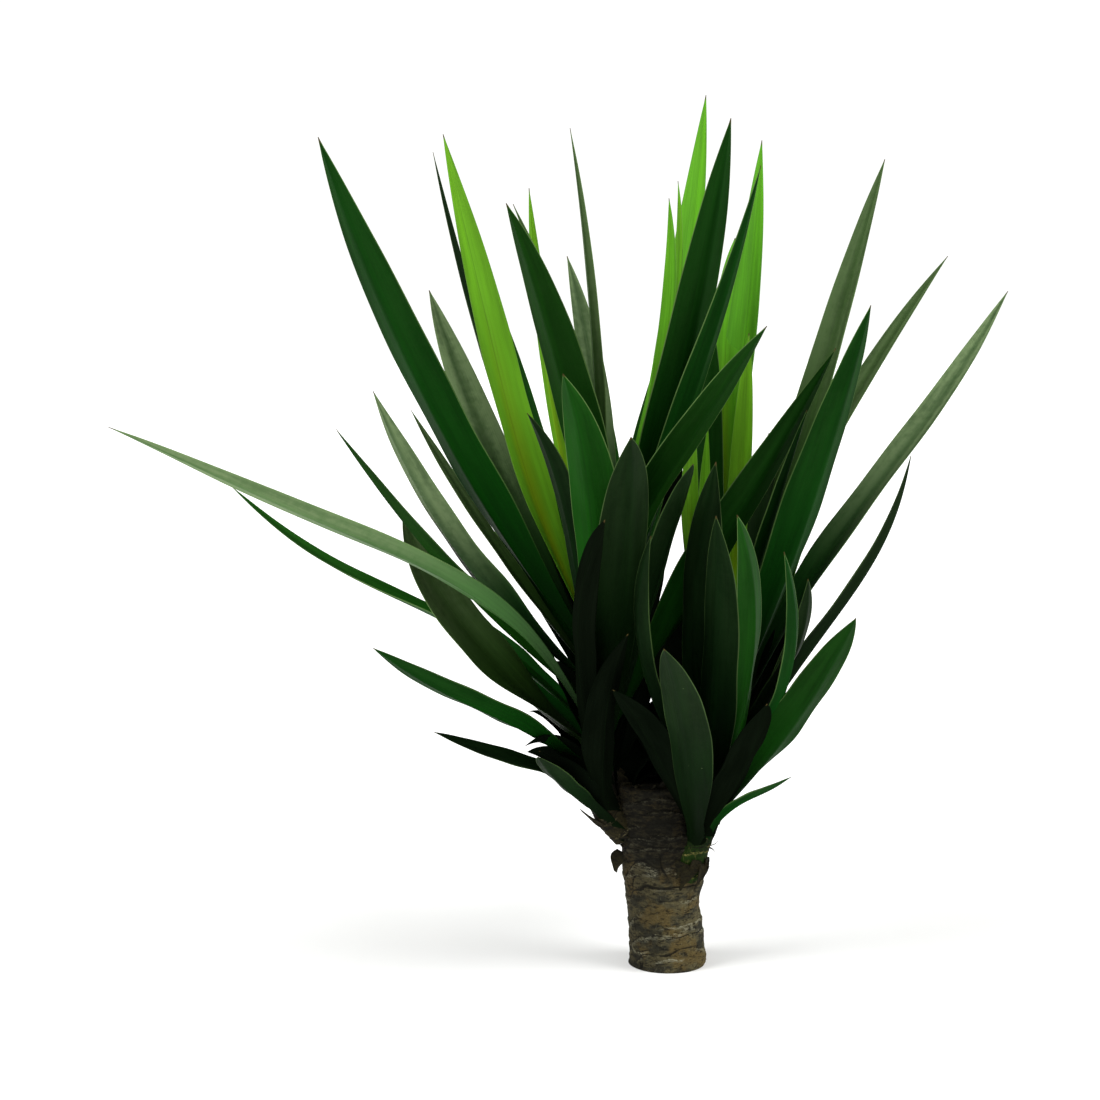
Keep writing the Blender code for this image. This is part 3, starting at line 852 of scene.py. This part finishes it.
def stem_shape(head):
    """A side stem with the rings its lost leaves left."""
    path = smooth_path(STEMS[head], 26)
    around, levels = 96, len(path)
    along = unit(np.gradient(path[:, :3], axis=0))
    first = unit(np.cross((0, 1.0, 0), along))
    second = np.cross(along, first)
    run = np.concatenate([[0], np.cumsum(np.linalg.norm(np.diff(path[:, :3], axis=0), axis=1))])
    angle, run = np.meshgrid(np.linspace(0, 2 * math.pi, around, endpoint=False), run)
    lip, crease, _, lumps = scar_relief(angle, run, STEM_RADIUS, STEM_SCARS, (2, run.max() - 2),
                                        31 if head == "left" else 47)
    flare = (1.5 if head == "left" else 8.5) * ease(48, 10, run)
    radius = path[:, 3][:, None] + flare + 0.55 * lip - 0.5 * crease + 0.35 * lumps
    radius[-1] *= 0.82
    points = (path[:, None, :3] + first[:, None] * (radius * np.cos(angle))[..., None]
              + second[:, None] * (radius * np.sin(angle))[..., None])
    return points.reshape(-1, 3), tube_faces(levels, around), {
        "lip": lip.ravel(), "crease": crease.ravel(), "rise": run.ravel() / run.max()}


def sliver(root, tip, bend, width, thick, curl=0.25):
    """A small dry scale from root to tip, bowed by bend."""
    root, tip, bend = (np.array(v, float) for v in (root, tip, bend))
    rings, columns = 12, 7
    t = np.linspace(0, 1, rings)[:, None]
    centres = root + (tip - root) * t + 4 * bend * t * (1 - t)
    along = unit(np.gradient(centres, axis=0))
    side = unit(np.cross(along, bend + (1e-3, 2e-3, 1e-3)))
    face = np.cross(side, along)
    across = np.linspace(-1, 1, columns)
    half = width / 2 * np.sqrt(np.clip(1 - t**1.6, 0.004, 1)) * (0.75 + 0.25 * np.sin(6 * t))
    out = curl * half * across**2
    body = thick / 2 * (1 - 0.6 * t) * (1 - 0.7 * across**2)
    grids = [centres[:, None] + side[:, None] * (half * across)[..., None]
             + face[:, None] * (out + sign * body)[..., None] for sign in (1, -1)]
    ring = np.concatenate([grids[0], grids[1][:, ::-1]], axis=1)
    values = {"lip": np.zeros(rings * 2 * columns),
              "crease": np.repeat(0.3 * t[:, 0] ** 3, 2 * columns)}
    return ring.reshape(-1, 3), tube_faces(rings, 2 * columns), values


# ---------------------------------------------------------------- operators

class YUCCA_OT_cane(bpy.types.Operator):
    """Replace the cane with one that has bark."""

    bl_idname = "yucca.cane"
    bl_label = "Cane"

    def execute(self, context):
        settings = context.scene.yucca_bark

        # Painted shade: the cane is made darker towards its sawn top, under the crown, where its
        # bark is also dark with age, and darker on its left side.
        def age(n):
            place = n.new("TexCoord").outputs["Object"]
            part = n.new("SeparateXYZ", {"Vector": place}).outputs
            cloud = n.times(n.noise(place, 45.0), 0.05)
            high = n.steps(n.math("ADD", part["Z"], cloud), 0.095, 0.150, 0.0, 1.0)
            left = n.steps(n.math("ADD", part["X"], cloud), -0.016, 0.030, 0.65, 0.0)
            return n.math("MAXIMUM", high, left)

        bark = bark_material("cane_bark", {"Cork": "cork", "Ochre": "ochre", "Grey": "grey",
                                           "Dark": "dark", "Pale": "pale"}, age)
        add_piece("cane", cane_shape(settings), [bark], ["trunk"])
        return {"FINISHED"}


class YUCCA_OT_stems(bpy.types.Operator):
    """Replace the side stems with ringed green ones."""

    bl_idname = "yucca.stems"
    bl_label = "Side Stems"

    def execute(self, context):
        skins = {"left": {"Cork": "crust", "Ochre": "crust", "Grey": "dark", "Pale": "cork"},
                 "right": {"Cork": "shoot", "Ochre": "shoot", "Grey": "shoot", "Pale": "cream"}}
        for head, colours in skins.items():
            # The bark of each stem is made darker towards its top.
            skin = bark_material(head + "_shoot_skin", {**colours, "Dark": "dark"},
                                 lambda n: n.steps(n.value("rise"), 0.05, 0.30, 0.1, 1.0))
            add_piece(head + "_shoot", stem_shape(head), [skin], [head + "_stem"])
        return {"FINISHED"}


class YUCCA_OT_leaves(bpy.types.Operator):
    """Replace each leaf with a fine blade."""

    bl_idname = "yucca.leaves"
    bl_label = "Leaves"

    def execute(self, context):
        settings = context.scene.yucca_leaves
        for head, rows in LEAVES.items():
            for number, row in enumerate(rows, 1):
                shape = fine_blade(head, row, settings, number + 40 * (head == "right"))
                node = f"{head}_leaf_{number:02d}"
                add_piece(f"{head}_blade_{number:02d}", shape, [leaf_material(row[5])], [node])
        return {"FINISHED"}


class YUCCA_OT_hearts(bpy.types.Operator):
    """Replace each heart with its young blades."""

    bl_idname = "yucca.hearts"
    bl_label = "Hearts"

    def execute(self, context):
        settings = context.scene.yucca_leaves
        for head, rows in HEARTS.items():
            shape, materials, choice = leafage(head, rows, settings, HEART_SEED)
            add_piece(head + "_young_blades", shape, materials, [head + "_heart"],
                      choice)
        return {"FINISHED"}


class YUCCA_OT_inner(bpy.types.Operator):
    """Add the leaves deep inside each head."""

    bl_idname = "yucca.inner"
    bl_label = "Inner Leaves"

    def execute(self, context):
        settings = context.scene.yucca_leaves
        for head, rows in INNER.items():
            shape, materials, choice = leafage(head, rows, settings, INNER_SEED)
            add_piece(head + "_inner_blades", shape, materials, [], choice)
        return {"FINISHED"}


class YUCCA_OT_scales(bpy.types.Operator):
    """Add the dry scales that cling to the cane."""

    bl_idname = "yucca.scales"
    bl_label = "Dry Scales"

    def execute(self, context):
        bark = bark_material("dry_scale", {"Cork": "crust", "Ochre": "crust", "Grey": "dark",
                                           "Dark": "dark", "Pale": "cork"}, lambda n: 0.45)
        parts = [
            sliver((-44, -8, 116), (-52, -14, 97), (-3, -3, 0), 22, 1.2, 0.3),
            sliver((-58, -16, 143), (-89, -20, 164), (-1, -1, -1), 13, 1.6),
            sliver((-45, -10, 124), (-51, -13, 130), (-1, 0, -1), 4, 0.9),
            sliver((38, -20, 126), (50, -24, 133), (2, -1, -1), 4, 0.9),
            sliver((37, -22, 125), (46, -26, 121), (2, -1, 1), 4, 0.8),
            sliver((31, -24, 110), (41, -28, 106), (1, -2, 1), 5, 0.9),
            sliver((29, -12, 95), (37, -12, 90), (1, -1, 1), 5, 1.0),
        ]
        # A collar of dried leaf bases round the foot of the right shoot.
        for k in range(8):
            turn = math.radians(-128 + 21 * k)
            way = np.array([math.cos(turn), math.sin(turn), 0])
            reach = 2.5 * math.sin(2.7 * k)
            parts.append(sliver(np.array([18, -16, 113 + reach]) + 21.5 * way,
                                np.array([9, -12, 87 + 2 * reach]) + 22.5 * way, 2 * way,
                                13, 2.0, 0.3))
        # Short stumps of leaves round the sawn top.
        for k in range(14):
            turn = 2.4 * k
            rim = np.array([-17 + 29 * math.cos(turn), 29 * math.sin(turn), 182.0])
            rise = np.array([6 * math.cos(turn), 6 * math.sin(turn), 13 + 5 * math.sin(5.1 * k)])
            parts.append(sliver(rim, rim + rise, 0.1 * rise[[1, 0, 2]], 16, 2.2, 0.4))
        add_piece("dry_scales", joined(parts), [bark], [])
        return {"FINISHED"}


class YUCCA_OT_stage(bpy.types.Operator):
    """Make the floor, the lights and the camera."""

    bl_idname = "yucca.stage"
    bl_label = "Studio"

    def execute(self, context):
        settings = context.scene.yucca_stage
        scene = context.scene
        self.floor(settings)
        self.surroundings(scene, settings)
        for name, turn, rise, strength in (("left_light", -72, 42, settings.side),
                                           ("right_light", 78, 44, settings.side * 0.85),
                                           ("top_light", 25, 74, settings.top)):
            light = bpy.data.lights.new(name, "SUN")
            light.energy, light.angle = strength, settings.softness
            obj = placed(name, light)
            turn, rise = math.radians(turn), math.radians(rise)
            way = Vector((math.sin(turn) * math.cos(rise), -math.cos(turn) * math.cos(rise),
                          math.sin(rise)))
            obj.rotation_euler = way.to_track_quat("Z", "Y").to_euler()
            obj.location = way * 3
        camera = bpy.data.cameras.new("camera")
        camera.lens = camera.sensor_width * SIGHT / FRAME_SIDE
        camera.clip_end = 200
        obj = placed("camera", camera)
        obj.location = EYE * MM
        obj.rotation_euler = Vector(AHEAD).to_track_quat("-Z", "Y").to_euler()
        scene.camera = obj
        scene.view_settings.view_transform = "Standard"
        return {"FINISHED"}

    def floor(self, settings):
        made, n, shader = principled("floor", 0.9, 0.1)
        dust = n.noise(n.new("TexCoord").outputs["Object"], 3.0, 4.0)
        pale = tuple(settings.floor)
        n.put(shader.inputs["Base Color"],
              n.mix(n.steps(dust, 0.3, 0.7), pale, tuple(0.985 * c for c in pale)))
        mesh = bpy.data.meshes.new("floor")
        size = 60.0
        mesh.from_pydata([(-size, -size, 0), (size, -size, 0), (size, size, 0),
                          (-size, size, 0)], [], [(0, 1, 2, 3)])
        mesh.materials.append(made)
        placed("floor", mesh)

    def surroundings(self, scene, settings):
        """Pale all round: full white behind the plant, and a softer fill on it."""
        world = bpy.data.worlds.new("surroundings")
        world.use_nodes = True
        n = Nodes(world.node_tree)
        back = world.node_tree.nodes["Background"]
        seen = n.new("LightPath").outputs["Is Camera Ray"]
        n.put(back.inputs["Color"], (1.0, 1.0, 0.99))
        n.put(back.inputs["Strength"], n.new("MapRange", {
            "Value": seen, "To Min": settings.fill, "To Max": 1.1}).outputs[0])
        scene.world = world


class YUCCA_PT_panel(bpy.types.Panel):
    """The yucca's pieces and their settings."""

    bl_idname = "YUCCA_PT_panel"
    bl_label = "Spineless Yucca"
    bl_space_type = "VIEW_3D"
    bl_region_type = "UI"
    bl_category = "Yucca"

    def draw(self, context):
        for settings in (context.scene.yucca_bark, context.scene.yucca_leaves,
                         context.scene.yucca_stage):
            box = self.layout.box()
            for name in settings.bl_rna.properties.keys():
                if name not in ("rna_type", "name"):
                    box.prop(settings, name)
        for operator in OPERATORS:
            self.layout.operator(operator.bl_idname)


OPERATORS = (YUCCA_OT_cane, YUCCA_OT_stems, YUCCA_OT_leaves, YUCCA_OT_hearts, YUCCA_OT_inner,
             YUCCA_OT_scales, YUCCA_OT_stage)
SETTINGS = {"yucca_leaves": YuccaLeafSettings, "yucca_bark": YuccaBarkSettings,
            "yucca_stage": YuccaStageSettings}


def register():
    for cls in (*SETTINGS.values(), *OPERATORS, YUCCA_PT_panel):
        bpy.utils.register_class(cls)
    for name, cls in SETTINGS.items():
        setattr(bpy.types.Scene, name, bpy.props.PointerProperty(type=cls))


def unregister():
    for name in SETTINGS:
        delattr(bpy.types.Scene, name)
    for cls in (YUCCA_PT_panel, *reversed(OPERATORS), *SETTINGS.values()):
        bpy.utils.unregister_class(cls)


def main():
    register()
    for operator in OPERATORS:
        group, name = operator.bl_idname.split(".")
        getattr(getattr(bpy.ops, group), name)()


if __name__ == "__main__":
    main()
